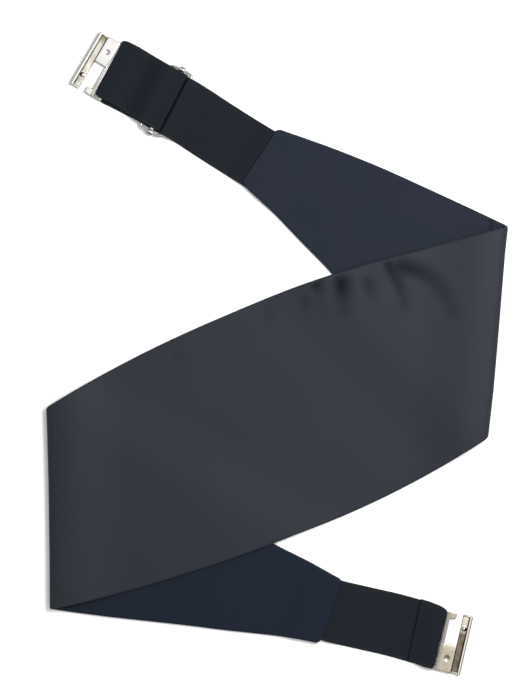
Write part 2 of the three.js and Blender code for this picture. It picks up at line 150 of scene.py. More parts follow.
# The sash: its size as cut, how it is folded, and the unevenness of its cloth
sash = {
    "length": 665.0,  # between the end seams
    "width": 141.0,  # across the middle
    "edges": {  # as shares of the width, at even places along the sash
        "upper": [0.142, 0.21, 0.3, 0.388, 0.446, 0.466, 0.455, 0.398, 0.327, 0.254, 0.142],
        "lower": [-0.15, -0.259, -0.374, -0.462, -0.511, -0.534, -0.515, -0.442, -0.339, -0.234, -0.134],
    },
    "swells": {  # of the sewn edges: the place along the sash, how far out, and over what reach
        "upper": [(306, 1.7, 22), (322, 0.5, 14), (286, 0.3, 25), (200, 0.5, 30), (40, 0.25, 25),
                  (-40, 0.35, 70), (-310, 1.3, 20)],
        "lower": [(322, 0.8, 13), (262, -0.75, 22), (-14, -0.75, 24), (-232, -1.3, 68)],
    },
    "endCorner": 3.0,  # radius
    "wall": 1.0,  # of the satin, and of the lining
    "gap": 0.3,  # between the two
    "seamDepth": 12.0,  # how deep the straps are sewn in
    "seamRamp": 16.0,  # over which the lining comes back from a strap
    "panelTurn": 22.6,  # degrees, the centre panel on the table
    "foldRadius": 3.2,
    "foldReach": 44.0,  # over which the panel sinks from a fold
    "drapeReach": 42.0,  # over which it sinks past the tail's edge
    "shoulder": (21.0, 2.3),  # how far in from a fold the cloth starts to roll over, and how far it drops
    "edgeRound": 1.3,  # the rolled edge
    "edgeRows": [0, 0.12, 0.35, 0.7, 1.15, 1.8, 3.0],  # of the mesh, from each edge
    "acrossSteps": 52,  # of the mesh between those
    "step": 2.5,  # of the mesh along the sash
    "bendSteps": 18,  # of the mesh round a fold
    "waves": [(1.0, 0.16), (3.1, 0.05)],  # how fine and how high the cloth's slow waves are
    "waveSize": (85, 55),  # along and across, of the coarser ones
    # Each fold: its place as a share of half the length, the way it faces, its lean in degrees, and how
    # far its edge is bowed inwards from its lower to its upper end
    "folds": [
        {"along": -0.439, "side": -1, "lean": 21.4,
         "bow": [(0, 0.0), (0.25, 0.6), (0.6, 0.95), (0.85, 0.7), (1, 0.1)]},
        {"along": 0.462, "side": 1, "lean": 28.1,
         "bow": [(0, 0.1), (0.2, -0.4), (0.45, -0.1), (0.8, 0.6), (1, 0.1)]},
    ],
    "bowReach": 40.0,  # over which a fold's bow comes back to nothing
    # Puckers of the satin, hollows that run in from its upper edge: their course on the table, their
    # half width, their depth and how much painted shade darkens their bottom
    "puckers": [
        {"course": [(-105, -20), (-103, -28)], "width": 3.4, "depth": 0.2, "paintedShade": 0.1},
        {"course": [(-62, 0), (-60.5, -9)], "width": 3.4, "depth": 0.2, "paintedShade": 0.1},
        {"course": [(-6.5, 25.5), (-5.5, 15)], "width": 3.2, "depth": 0.25, "paintedShade": 0.15},
        {"course": [(16.5, 31), (17.2, 23)], "width": 2.8, "depth": 0.35, "paintedShade": 0.3},
        {"course": [(24.0, 40.5), (25.6, 37)], "width": 3.6, "depth": 0.45, "paintedShade": 0.8},
        {"course": [(38.6, 42), (39.0, 35), (39.6, 26)], "width": 4.9, "depth": 1.0, "paintedShade": 0.9},
        {"course": [(54.5, 42), (58, 33)], "width": 3.8, "depth": 0.4, "paintedShade": 0.5},
        {"course": [(68, 53), (74, 41), (78, 27)], "width": 3.4, "depth": 0.6, "paintedShade": 0.85},
        {"course": [(76, 52), (86, 49), (94, 44.5), (101, 35), (106, 24)], "width": 4.8, "depth": 0.75,
         "paintedShade": 0.75},
    ],
    "ridge": (0.3, 1.7),  # beside a pucker: its share of the depth, and where, in half widths
    "sewnFlat": 2.2,  # from the edge, where the puckers start
    # A short slit in the lining beside the panel's upper right corner
    "slit": {"course": [(131.0, 79.8), (130.2, 74.4)], "width": 0.75, "depth": 0.8},
}
gap = sash["gap"]
halfLength = sash["length"] / 2
satinFace = gap / 2 + sash["wall"]  # from the middle of the two cloths to the satin's outer face
bendLength = math.pi * sash["foldRadius"]
tailHeight = satinFace
panelOnTable = satinFace
panelOnTail = tailHeight + satinFace + gap + panelOnTable
foldHeight = tailHeight + 2 * sash["foldRadius"]


def edgeAt(side, along):
    # The smooth curve through an edge's rows, with the corner at the end seam rounded off
    rows = sash["edges"][side]
    share = (min(max(along / halfLength, -1), 1) + 1) / 2 * (len(rows) - 1)
    n = min(int(share), len(rows) - 2)
    t = share - n
    before, first, last = rows[max(n - 1, 0)], rows[n], rows[n + 1]
    after = rows[min(n + 2, len(rows) - 1)]
    rise, fall = (last - before) / 2, (after - first) / 2
    cubic = (2 * first - 2 * last + rise + fall) * t**3
    square = (-3 * first + 3 * last - 2 * rise - fall) * t**2
    width = (cubic + square + rise * t + first) * sash["width"]
    corner = sash["endCorner"]
    fromEnd = min(max(halfLength - abs(along), 0), corner)
    cut = corner - math.sqrt(corner**2 - (corner - fromEnd) ** 2)
    for at, out, reach in sash["swells"][side]:
        width += math.copysign(1, width) * out * math.exp(-(((along - at) / reach) ** 2))
    return width - math.copysign(cut, width)


def foldLine(row):
    # A fold's line across the flat sash: where it starts, and the way over it
    lean = math.radians(row["lean"])
    return row | {
        "slope": math.tan(lean),
        "start": row["along"] * halfLength - row["side"] * (sash["foldRadius"] + satinFace) / math.cos(lean),
        "x": math.cos(lean) * row["side"],
        "y": -math.sin(lean) * row["side"],
    }


folds = [foldLine(row) for row in sash["folds"]]


def pastFold(fold, along, across):
    return (along - fold["start"]) * fold["x"] + across * fold["y"]


def panelHeight(along, across):
    # Up on the bend, down onto the tail below, and down to the table past the tail's edge
    highest = 0
    for fold in folds:
        past = pastFold(fold, along, across)
        jump = 2 * (past - bendLength / 2)
        belowAlong = along - jump * fold["x"]
        belowAcross = across - jump * fold["y"]
        outside = max(edgeAt("lower", belowAlong) - belowAcross, belowAcross - edgeAt("upper", belowAlong))
        lift = (panelOnTail - panelOnTable) * fade(outside / sash["drapeReach"])
        lift += (foldHeight - panelOnTail) * fade(-past / sash["foldReach"])
        highest = max(highest, lift)
    return panelOnTable + highest


def laid(along, across, offset, height):
    # A point of the flat sash on the table, offset towards the satin, before the panel is turned. The
    # height is the panel's, and isn't used past a fold.
    for fold in folds:
        past = pastFold(fold, along, across)
        if past > 0:
            radius = sash["foldRadius"]
            angle = min(past / radius, math.pi)
            reach = (radius + offset) * math.sin(angle) - max(past - bendLength, 0) - past
            z = tailHeight + radius + (radius + offset) * math.cos(angle)
            return Vector((along + reach * fold["x"], across + reach * fold["y"], z))
    return Vector((along, across, height + offset))


def sashSections():
    # Where the sash is cut across: places on the middle line, and the slope of each cut
    left, right = folds
    leftEnd = left["start"] - bendLength / abs(left["x"])
    rightEnd = right["start"] + bendLength / abs(right["x"])
    corner, bend = sash["endCorner"], sash["bendSteps"]
    # Each stretch's start and its number of steps, or 0 where the common step does. The stretch past
    # the right fold is fine, for the slit.
    stretches = [
        (-halfLength, 8), (-halfLength + corner, 0), (leftEnd, bend), (left["start"], 0),
        (right["start"], bend), (rightEnd, 40), (rightEnd + 16, 0), (halfLength - corner, 8), (halfLength, 1),
    ]
    places = []
    for (low, steps), (high, _) in zip(stretches, stretches[1:]):
        steps = steps or math.ceil((high - low) / sash["step"])
        places += [mix(low, high, i / steps) for i in range(steps)]
    rows = []
    for place in (*places, halfLength):
        share = (place - left["start"]) / (right["start"] - left["start"])
        slope = mix(left["slope"], right["slope"], min(max(share, 0), 1))
        if place < leftEnd:
            slope = left["slope"] * (place + halfLength) / (leftEnd + halfLength)
        if place > rightEnd:
            slope = right["slope"] * (halfLength - place) / (halfLength - rightEnd)
        rows.append((place, slope))
    return rows


def edgeMeets(place, slope, side):
    # How far across a sloping cut meets the edge, found in a few rounds
    across = edgeAt(side, place)
    for _ in range(8):
        across = edgeAt(side, place + slope * across)
    return across


def standOff(along):
    # Room that the lining leaves for a strap near each end
    fromEnd = halfLength - abs(along)
    depth = sash["seamDepth"]
    return (strap["wall"] + gap) * fade((fromEnd - depth - 2) / (sash["seamRamp"] - 2))


def puckered(x, y, fromEdge):
    # How far the satin sinks, with a low ridge on both sides of each hollow, and how much shade is painted
    # into its colour there
    ridgeHigh, ridgeAt = sash["ridge"]
    farthest = 3.2  # half widths, past which a pucker is nothing
    lift, paintedShade = 0, 0
    for pucker in sash["puckers"]:
        away, share = nearest(x, y, pucker["course"])
        reach = away / pucker["width"]
        if reach < farthest:
            hollow = math.exp(-reach * reach)
            ridge = ridgeHigh * math.exp(-((reach - ridgeAt) ** 2) / 0.5)
            ebb = 0.3 + 0.7 * fade(share)  # shallower along its course
            lift += pucker["depth"] * ebb * (ridge - hollow)
            paintedShade = max(paintedShade, min(pucker["paintedShade"] * ebb * hollow, 1))
    near = 1 - fade(fromEdge / sash["sewnFlat"])
    return lift * near, paintedShade * near


def waved(along, across):
    # The slow unevenness of cloth that lies loosely
    spot = Vector((along / sash["waveSize"][0], across / sash["waveSize"][1], 0.3))
    return sum(high * noise.noise(spot * fine) for fine, high in sash["waves"])


# The folded sash sits where the CAD puts it: its own box is matched to the satin's
turnSash = Matrix.Rotation(math.radians(sash["panelTurn"]), 4, "Z")


def sashPlace():
    low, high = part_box("satin_shell")
    xs, ys = [], []
    for place, slope in sashSections():
        for side in ("lower", "upper"):
            across = edgeMeets(place, slope, side)
            spot = turnSash @ laid(place + slope * across, across, satinFace, 0)
            xs.append(spot.x)
            ys.append(spot.y)
    middleX, middleY = (low.x + high.x) / 2 / mm, (low.y + high.y) / 2 / mm
    return Vector((middleX - (min(xs) + max(xs)) / 2, middleY - (min(ys) + max(ys)) / 2, 0))


toTable = Matrix.Translation(sashPlace()) @ turnSash


def foldShift(along, across):
    # How far the cloth drops as it rolls over towards a fold's edge, and how far the edge bows inwards
    width, depth = sash["shoulder"]
    outer = sash["foldRadius"] + satinFace
    shift = Vector((0, 0, 0))
    for fold in folds:
        past = pastFold(fold, along, across)
        aside = across * abs(fold["x"]) + (along - fold["start"]) * fold["y"] * -fold["side"]
        beyond = max(abs(past - bendLength / 2) - bendLength / 2, 0)
        bow = ramp(fold["bow"], aside / sash["width"] + 0.5) * fade(beyond / sash["bowReach"])
        shift -= Vector((fold["x"], fold["y"], 0)) * bow
        angle = min(max(past, 0) / sash["foldRadius"], math.pi / 2)
        fromEdge = max(-past, 0) + outer * (1 - math.sin(angle))
        if fromEdge < width:
            shift.z -= depth * (1 - fromEdge / width) ** 2 * math.cos(angle)
    return shift


def sashLayers():
    # Grids of points for the satin's and the lining's two faces, with each one's place on the flat
    # cloth and how much painted shade it gets in a pucker
    wall, slit = sash["wall"], sash["slit"]
    cloths = ("satinOut", "satinIn", "liningIn", "liningOut")
    grids = {key: [] for key in (*cloths, "flat", "hollow")}
    for place, slope in sashSections():
        low = edgeMeets(place, slope, "lower")
        wide = edgeMeets(place, slope, "upper") - low
        line = {key: [] for key in grids}
        for off in crossRows(wide, sash["edgeRows"], sash["acrossSteps"]):
            across = low + off
            along = place + slope * across
            edge = min(off, wide - off, halfLength - abs(place))
            roll = rounded(min(edge / sash["edgeRound"], 1)) * 0.96 + 0.04
            height = panelHeight(along, across)
            away = min(-pastFold(fold, along, across) for fold in folds)
            spot = toTable @ Vector((along, across, 0))
            sunk, hollow = puckered(spot.x, spot.y, wide - off) if away > 0 else (0, 0)
            lift = (sunk + waved(along, across) * min(edge / 6, 1)) * (1 - fade(away / 8))
            back = gap / 2 + standOff(place)
            offsets = (gap / 2 + wall * roll + lift, gap / 2, -back, -back - wall * roll)
            drop = foldShift(along, across)
            points = [toTable @ (laid(along, across, offset, height) + drop) for offset in offsets]
            if away < -bendLength:
                fromSlit, _ = nearest(points[-1].x, points[-1].y, slit["course"])
                points[-1].z -= slit["depth"] * math.exp(-((fromSlit / slit["width"]) ** 2))
            for key, point in zip(cloths, points):
                line[key].append(point)
            line["flat"].append((along, across))
            line["hollow"].append(hollow)
        for key in grids:
            grids[key].append(line[key])
    return grids


def flatArea():
    steps = 400
    total = 0
    for i in range(steps):
        along = mix(-halfLength, halfLength, (i + 0.5) / steps)
        total += (edgeAt("upper", along) - edgeAt("lower", along)) * sash["length"] / steps
    return total * mm * mm


# A clasp, lengths across its bars along X and along its bars along Y
clasp = {
    "wall": 1.0,
    "length": 36.6,
    "rise": 1.4,  # of the plate and the bars over the trough's floor
    "bar": 2.2,
    "slot": 3.6,
    "innerBar": 2.2,
    "arm": 1.0,
    "notch": 7.4,
    "plate": 17.0,
    "rail": 6.2,
    "railHeight": 3.6,
    "lip": 1.7,
    "railEnd": 1.8,
    "stub": (3.7, 3.8),
    "dimple": (2.4, 0.85),  # radius and depth
    "detent": (1.75, 0.7),  # radius and height
    "inset": 8.6,  # of both, from the ends
    "draft": 0.5,  # slope of the step up to the plate
    "score": (0.3, 0.16),  # half width and depth of the line beside the bar
    "edge": 0.3,  # radius of its edges
    "longTurn": -3.0,  # degrees on the strap
    "shortTurn": 0.2,
    "shortAside": -0.9,  # to the left of the short strap's middle line
}
slotLength = clasp["length"] - 2 * clasp["arm"]
claspBack = clasp["bar"] + clasp["slot"] + clasp["innerBar"]
lipIn = clasp["notch"] + clasp["rail"] - clasp["lip"]


def on(value, target):
    return abs(value - target) < 0.01


def pick(test, kind="edges"):
    # Selects what has all its corners inside a test, on the piece in edit mode
    data = bpy.context.object.data
    mesh = bmesh.from_edit_mesh(data)
    for element in (*mesh.verts, *mesh.edges, *mesh.faces):
        element.select = False
    for element in getattr(mesh, kind):
        if all(test(corner.co / mm) for corner in element.verts):
            element.select = True
    mesh.select_flush_mode()
    bmesh.update_edit_mesh(data)


def shiftCorners(offsetAt):
    # Moves each corner by what a function says for its place, on the piece in edit mode
    data = bpy.context.object.data
    for corner in bmesh.from_edit_mesh(data).verts:
        corner.co += Vector(offsetAt(corner.co / mm)) * mm
    bmesh.update_edit_mesh(data)


def extrude(x=0, y=0, z=0):
    bpy.ops.mesh.extrude_region_move(TRANSFORM_OT_translate={"value": (x * mm, y * mm, z * mm)})


def cutAcross(point, normal):
    bpy.ops.mesh.select_all(action="SELECT")
    bpy.ops.mesh.bisect(plane_co=Vector(point) * mm, plane_no=normal)


def roundForm(middle, radius, height):
    # Presses a round dent or bump into a flat part of a sheet, in a finely divided square cell
    x, y, z = middle
    cell = radius + 0.3
    for side in (-1, 1):
        cutAcross((x + side * cell, 0, 0), (1, 0, 0))
        cutAcross((0, y + side * cell, 0), (0, 1, 0))
    reach = cell + 0.01
    pick(lambda p: abs(p.x - x) < reach and abs(p.y - y) < reach and on(p.z, z), "faces")
    bpy.ops.mesh.subdivide(number_cuts=23)

    def press(p):
        share = math.hypot(p.x - x, p.y - y) / radius
        return (0, 0, height * fade(share) if on(p.z, z) else 0)

    shiftCorners(press)


def claspSheet():
    # Bent sheet, modelled on the origin, then given its wall
    half = clasp["length"] / 2
    wall = clasp["wall"]
    floorZ = wall / 2
    plateZ = clasp["rise"] + wall / 2
    lipZ = clasp["railHeight"] - wall / 2
    notchEnd = -half + clasp["plate"]
    railIn = clasp["notch"] + wall / 2
    railOut = clasp["notch"] + clasp["rail"] - wall / 2
    bar = -clasp["bar"]
    slotIn = bar - clasp["slot"]
    stubReach, stubWidth = clasp["stub"]
    armAt = half - clasp["arm"]
    endAt = half - wall / 2
    deselectAll()
    bpy.ops.mesh.primitive_plane_add(size=1, location=((railIn + railOut) / 2 * mm, 0, floorZ * mm))
    piece = bpy.context.object
    piece.name = "stamped_clasp"
    piece.scale = ((railOut - railIn) * mm, 2 * endAt * mm, 1)
    bpy.ops.object.transform_apply(location=True, rotation=True, scale=True)
    bpy.ops.object.mode_set(mode="EDIT")
    # The rail's outer wall and its lip
    pick(lambda p: on(p.x, railOut))
    extrude(z=lipZ - floorZ)
    extrude(x=lipIn - railOut)
    # The step up to the plate, the plate and the bar's near part
    cutAcross((0, notchEnd, 0), (0, 1, 0))
    pick(lambda p: on(p.x, railIn) and on(p.z, floorZ) and p.y < notchEnd + 0.01)
    extrude(x=-clasp["draft"], z=plateZ - floorZ)
    extrude(x=clasp["draft"] - railIn)
    extrude(x=bar)
    # The bar's free part beside the notch, and its stub
    pick(lambda p: on(p.y, notchEnd) and on(p.z, plateZ) and p.x < 0.01)
    extrude(y=half - stubWidth - notchEnd)
    extrude(y=stubWidth)
    pick(lambda p: on(p.x, 0) and on(p.z, plateZ) and p.y > half - stubWidth - 0.01)
    extrude(x=stubReach)

    # The plate's and the lip's ends lie flush with the outside of the end walls
    def flush(p):
        atEnd = on(p.z, plateZ) and p.y < 0.01 - endAt or on(p.z, lipZ) and abs(p.y) > endAt - 0.01
        return (0, math.copysign(wall / 2, p.y) if atEnd else 0, 0)

    shiftCorners(flush)
    # The arms beside the slot, and the inner bar between them
    for side in (-1, 1):
        cutAcross((0, side * armAt, 0), (0, 1, 0))
    for side in (-1, 1):
        pick(lambda p: on(p.x, bar) and on(p.z, plateZ) and side * p.y > armAt - 0.01)
        extrude(x=-clasp["slot"])
        extrude(x=-clasp["innerBar"])
    pick(lambda p: p.x < slotIn + 0.01 and on(abs(p.y), armAt))
    bpy.ops.mesh.bridge_edge_loops()
    # The walls that close the rail's ends
    for side in (-1, 1):
        pick(lambda p: on(p.y, side * endAt) and on(p.z, floorZ))
        extrude(z=clasp["railEnd"] - floorZ)
    dimpleRadius, dimpleDepth = clasp["dimple"]
    roundForm((clasp["notch"] / 2, -half + clasp["inset"], plateZ), dimpleRadius, -dimpleDepth)
    detentRadius, detentHeight = clasp["detent"]
    roundForm(((railIn + lipIn) / 2, half - clasp["inset"], floorZ), detentRadius, detentHeight)
    # A scored line between the plate and the bar
    scoreHalf, scoreDepth = clasp["score"]
    for side in (-1, 1):
        cutAcross((side * scoreHalf, 0, 0), (1, 0, 0))

    def score(p):
        scored = on(p.x, 0) and on(p.z, plateZ) and p.y < notchEnd + 0.01
        return (0, 0, -scoreDepth if scored else 0)

    shiftCorners(score)
    bpy.ops.mesh.select_all(action="SELECT")
    bpy.ops.mesh.remove_doubles(threshold=0.01 * mm)
    bpy.ops.mesh.normals_make_consistent(inside=False)
    bpy.ops.object.mode_set(mode="OBJECT")
    finishWith(piece, "wall", "SOLIDIFY", thickness=wall * mm, offset=0, use_even_offset=True)
    finishWith(piece, "rubbed edges", "BEVEL", width=clasp["edge"] * mm, segments=3, limit_method="ANGLE",
               angle_limit=math.radians(45), use_clamp_overlap=False)
    smoothByAngle(piece, 40)
    return piece


def shadeRims(piece):
    # Stores how steep each corner of the surface is, for painted shade on steep faces and bevels, and
    # each point's place on the unturned part
    mesh = piece.data
    rim = mesh.attributes.new("rim", "FLOAT", "CORNER")
    for n, corner in enumerate(mesh.corner_normals):
        rim.data[n].value = min(max((0.985 - abs(corner.vector.z)) / 0.2, 0), 1)
    spot = mesh.attributes.new("partPlace", "FLOAT_VECTOR", "POINT")
    for n, vert in enumerate(mesh.vertices):
        spot.data[n].vector = vert.co


def setDown(piece, spot, turn):
    # Puts a piece that was modelled on the origin at its place, in its mesh
    x, y, heading = spot
    local = Matrix.Translation(Vector((x, y, 0))) @ Matrix.Rotation(heading + math.radians(turn), 4, "Z")
    matrix = toTable @ local
    matrix.translation *= mm
    piece.data.transform(matrix)
    piece.data.update()


# The slide: a frame of bowed wire and a flat bar across its middle
slide = {
    "length": 15.5,  # along the strap
    "wire": 0.65,  # radius
    "bulge": 1.6,  # of the frame's ends beside the strap
    "barHalf": 20.2,  # half of the straight length across the strap
    "bar": 2.0,
    "barWall": 1.0,
    "barEnd": 1.3,  # where the flat bar stops, short of the wire
    "barEdge": 0.15,  # radius of its edges
    "roll": (3.2, 3.1, 0.62),  # the rolled end's length, its outer width and its wall
}
barReach = slide["length"] / 2 - slide["wire"]


def slideFrame():
    side = []
    steps = 14
    for i in range(steps + 1):
        t = i / steps
        x = mix(barReach, -barReach, t * t * (3 - 2 * t))
        y = slide["barHalf"] + 3 * slide["bulge"] * t * (1 - t)
        side.append((x, y))
    points = side + [(-x, -y) for x, y in side]
    deselectAll()
    bpy.ops.curve.primitive_bezier_circle_add(radius=1)
    ring = bpy.context.object
    ring.name = "slide_wire"
    curve = ring.data
    curve.splines.clear()  # the frame's own line takes the circle's place
    spline = curve.splines.new("POLY")
    spline.points.add(len(points) - 1)
    for point, (x, y) in zip(spline.points, points):
        point.co = (x * mm, y * mm, frameHeight * mm, 1)
    spline.use_cyclic_u = True
    curve.dimensions = "3D"
    curve.bevel_depth = slide["wire"] * mm
    curve.bevel_resolution = 4
    bpy.ops.object.convert(target="MESH")
    ring = bpy.context.object
    smoothByAngle(ring, 50)
    return ring


def slideCrossBar():
    # A flat bar whose ends are rolled round the wire
    wireAt = slide["barHalf"] + 0.75 * slide["bulge"]
    rollLength, rollWidth, rollWall = slide["roll"]
    deselectAll()
    bpy.ops.mesh.primitive_cube_add(size=1, location=(0, 0, frameHeight * mm))
    bar = bpy.context.object
    bar.name = "slide_cross_bar"
    bar.scale = (slide["bar"] * mm, 2 * (wireAt - slide["barEnd"]) * mm, slide["barWall"] * mm)
    bpy.ops.object.transform_apply(location=True, rotation=True, scale=True)
    rolls = []
    for side in (-1, 1):
        deselectAll()
        bpy.ops.mesh.primitive_cylinder_add(
            vertices=32, radius=rollWidth / 2 * mm, depth=rollLength * mm, end_fill_type="NOTHING",
            location=(0, side * wireAt * mm, frameHeight * mm), rotation=(0, math.pi / 2, 0))
        bpy.ops.object.transform_apply(location=True, rotation=True, scale=True)
        rolls.append(bpy.context.object)
        finishWith(rolls[-1], "wall", "SOLIDIFY", thickness=rollWall * mm, offset=-1)
    deselectAll()
    for piece in (bar, *rolls):
        piece.select_set(True)
    bpy.context.view_layer.objects.active = bar
    bpy.ops.object.join()
    finishWith(bar, "rubbed edges", "BEVEL", width=slide["barEdge"] * mm, segments=2, limit_method="ANGLE",
               angle_limit=math.radians(40))
    smoothByAngle(bar, 40)
    return bar


# The straps
strap = {
    "width": 38.6,
    "wall": 1.0,
    "settle": 12.0,  # past the seam, where it lies on the table
    "slideAt": 65.8,  # from the seam to the slide
    "claspAt": 42.6,  # from the slide to the long strap's clasp
    "shortLength": 71.6,
    "foldBack": 14.0,  # of the short strap's end
    "sewnRun": 0.75,  # share of that end over which it sinks to the strap below
    "ribs": 34,
    "ribHeight": 0.11,
    "selvage": 1.9,
    "edgeRound": 0.5,
    "edgeRows": [0, 0.06, 0.18, 0.4, 0.7],  # of the mesh, from each edge
    "step": 1.6,  # of the mesh along a strap
    "wobble": 0.25,
    "inSlot": 33.4,  # its width, drawn in between the clasp's arms
    # For each strap: how far it bulges over the clasp's bar, how far out each corner there lies and over
    # what length it comes back to its width, how far back the cut end's left corner lies, the way it
    # turns in degrees and how far it lies to the left of its line, both by the distance from the seam,
    # and how far its top layer lies to the right, for the long strap at the slide and at the clasp
    "long": {
        "nose": 2.2, "left": (17.0, 2.8), "right": (20.0, 1.6), "cut": 0.0, "shift": (2.0, 0.6),
        "turns": [(0, 2.2), (40, 0.4), (56, 6.2)],
        "drift": [(0, 0.75), (40, 0.7), (58, 0.3), (70, -0.1), (80, -0.4), (94, -0.4), (102, -0.2)],
    },
    "short": {
        "nose": 0.0, "left": (17.4, 6.5), "right": (18.7, 3.0), "cut": 2.6, "shift": -0.6,
        "turns": [(0, 4.5), (10, 8), (30, 8.4), (46, 4.4), (62, 4), (70, 7)],
        "drift": [(0, 0.6), (30, 0.25), (58, 0.1), (66, -0.6)],
    },
}
strapLow = strap["wall"] / 2
strapDouble = strapLow + strap["wall"] + gap
strapInSeam = sash["wall"] + gap + strapLow
overBar = clasp["rise"] + clasp["wall"] + gap + strapLow
claspLoop = (overBar - strapLow) / 2
loopBack = clasp["bar"] + gap + strapLow + claspLoop
frameHeight = 2 * (strap["wall"] + gap) + slide["barWall"] / 2
wrap = slide["wire"] + gap + strapLow
overSlide = frameHeight + slide["barWall"] / 2 + gap + strapLow
slideLoop = (overSlide - strapDouble) / 2


def strapCourse(side, kind, longest):
    # A function for a strap's place and heading on the table, by the distance from its seam
    turns = strap[kind]["turns"]
    seam = laid(side * halfLength, 0, 0, 0)
    inner = laid(side * (halfLength - sash["seamDepth"]), 0, 0, 0)
    ahead = math.atan2(seam.y - inner.y, seam.x - inner.x)
    spots = [(seam.x, seam.y)]
    for n in range(math.ceil(longest)):
        heading = ahead + math.radians(ramp(turns, n + 0.5))
        x, y = spots[-1]
        spots.append((x + math.cos(heading), y + math.sin(heading)))

    def place(along, beside=0):
        heading = ahead + math.radians(ramp(turns, along) if along >= 0 else 0)
        n = min(max(int(math.floor(along)), 0), len(spots) - 1)
        rest = along - n
        x = spots[n][0] + rest * math.cos(heading) - beside * math.sin(heading)
        y = spots[n][1] + rest * math.sin(heading) + beside * math.cos(heading)
        return x, y, heading

    return place


class Course:
    # A strap seen from its side: points of distance along it and height. The loop is the range of
    # points that turn round the clasp.
    def __init__(self):
        self.points = [(-sash["seamDepth"], strapInSeam)]
        self.loop = (0, 0)
        self.line(1, strapInSeam)
        self.ease(strap["settle"], strapLow)

    def line(self, x, z, step=strap["step"]):
        fromX, fromZ = self.points[-1]
        steps = max(1, math.ceil(math.hypot(x - fromX, z - fromZ) / step))
        self.points += [(mix(fromX, x, i / steps), mix(fromZ, z, i / steps)) for i in range(1, steps + 1)]

    def ease(self, x, z):
        fromX, fromZ = self.points[-1]
        steps = max(4, math.ceil(abs(x - fromX) / strap["step"]))
        for i in range(1, steps + 1):
            t = i / steps
            self.points.append((mix(fromX, x, t), mix(z, fromZ, fade(t))))

    def arc(self, x, z, radius, start, end, steps=8):
        for i in range(steps + 1):
            angle = math.radians(mix(start, end, i / steps))
            spot = (x + radius * math.cos(angle), z + radius * math.sin(angle))
            if math.dist(spot, self.points[-1]) > 0.02:
                self.points.append(spot)

    def roundClasp(self, loopAt, pastBar, run):
        # Round the inner bar, back over it, and down to the layer below over a run
        fine = 8  # in steps of 0.5, for the bulge over the bar
        self.line(loopAt, strapLow)
        first = len(self.points) - 1
        self.arc(loopAt, strapLow + claspLoop, claspLoop, -90, 90, 18)
        self.loop = (first, len(self.points) - 1)
        self.line(max(loopAt - fine, pastBar), overBar, 0.5)
        self.line(pastBar, overBar)
        self.ease(pastBar - run, strapDouble)


def longCourse(loopAt, pastBar, between):
    # Under the slide's first wire, up and over its second, round the clasp, and back over the slide's
    # bar and round it
    first, second = strap["slideAt"] - barReach, strap["slideAt"] + barReach
    layer = strap["wall"] + gap
    turnUp = 1.4  # radius
    climb = 12  # over which it rises to the slide
    # Shares of the way from slide to clasp: where the lower layer has come down, and for the upper one
    # the run down from the clasp and where it starts to rise
    downAt, leaveRun, riseAt = 0.5, 0.42, 0.56
    course = Course()
    course.line(first - climb, strapLow)
    course.ease(first, frameHeight + wrap)
    course.arc(first, frameHeight, wrap, 90, 0)
    course.line(first + wrap, strapLow + turnUp)
    course.arc(first + wrap + turnUp, strapLow + turnUp, turnUp, 180, 270)
    course.line(second - wrap - turnUp, strapLow)
    course.arc(second - wrap - turnUp, strapLow + turnUp, turnUp, -90, 0)
    course.line(second - wrap, frameHeight)
    course.arc(second, frameHeight, wrap, 180, 90)
    course.ease(second + downAt * between, strapLow)
    course.roundClasp(loopAt, pastBar, leaveRun * between)
    course.line(second + riseAt * between, strapDouble)
    course.ease(second, frameHeight + wrap + layer)
    course.ease(strap["slideAt"] + slide["bar"], overSlide)
    turn = first + wrap + layer + slideLoop
    course.line(turn, overSlide)
    course.arc(turn, strapDouble + slideLoop, slideLoop, 90, 270, 10)
    course.line(strap["slideAt"] + slide["bar"], strapDouble)
    return course


def shortCourse(loopAt, pastBar, cutAt):
    course = Course()
    course.roundClasp(loopAt, pastBar, strap["sewnRun"] * (pastBar - cutAt))
    course.line(cutAt, strapDouble)
    return course


def ribbed(beside, width, along):
    # The height of the ribs across a strap, with plain selvages
    inside = width / 2 - strap["selvage"] - abs(beside)
    if inside < 0:
        return 0
    pitch = (width - 2 * strap["selvage"]) / strap["ribs"]
    return strap["ribHeight"] * math.cos(2 * math.pi * beside / pitch) * min(inside / 0.5, 1)


def strapSides(course, own, shiftAt):
    # For each point of a course: how far out the strap's left and right edges lie, and how far its
    # outer face bulges over the clasp's bar
    half, slot = strap["width"] / 2, strap["inSlot"] / 2
    first, last = course.loop
    front = course.points[(first + last) // 2][0]
    rows = []
    run = 0
    nosePast = 3.5  # over which the bulge comes back past the loop
    for i, (x, z) in enumerate(course.points):
        if i < first:
            tight = fade((course.points[first][0] - x) / 2)  # drawn in just before the loop
            rows.append((mix(half, slot, tight), mix(half, slot, tight), 0))
            continue
        turn = (i - first) / (last - first)  # 0 underneath, 1 on top
        run += math.dist(course.points[i - 1], course.points[i]) if turn > 1 else 0
        opened = 1 - fade((turn - 0.6) / 0.2)
        sides = []
        for side, way in (("left", -1), ("right", 1)):
            corner, length = own[side]
            share = min(abs(front - x) / length, 1)
            full = mix(half + way * shiftAt(x), corner, 1 - rounded(share))
            sides.append(mix(slot, full, opened))
        rows.append((*sides, own["nose"] * opened * fade(run / nosePast)))
    return rows


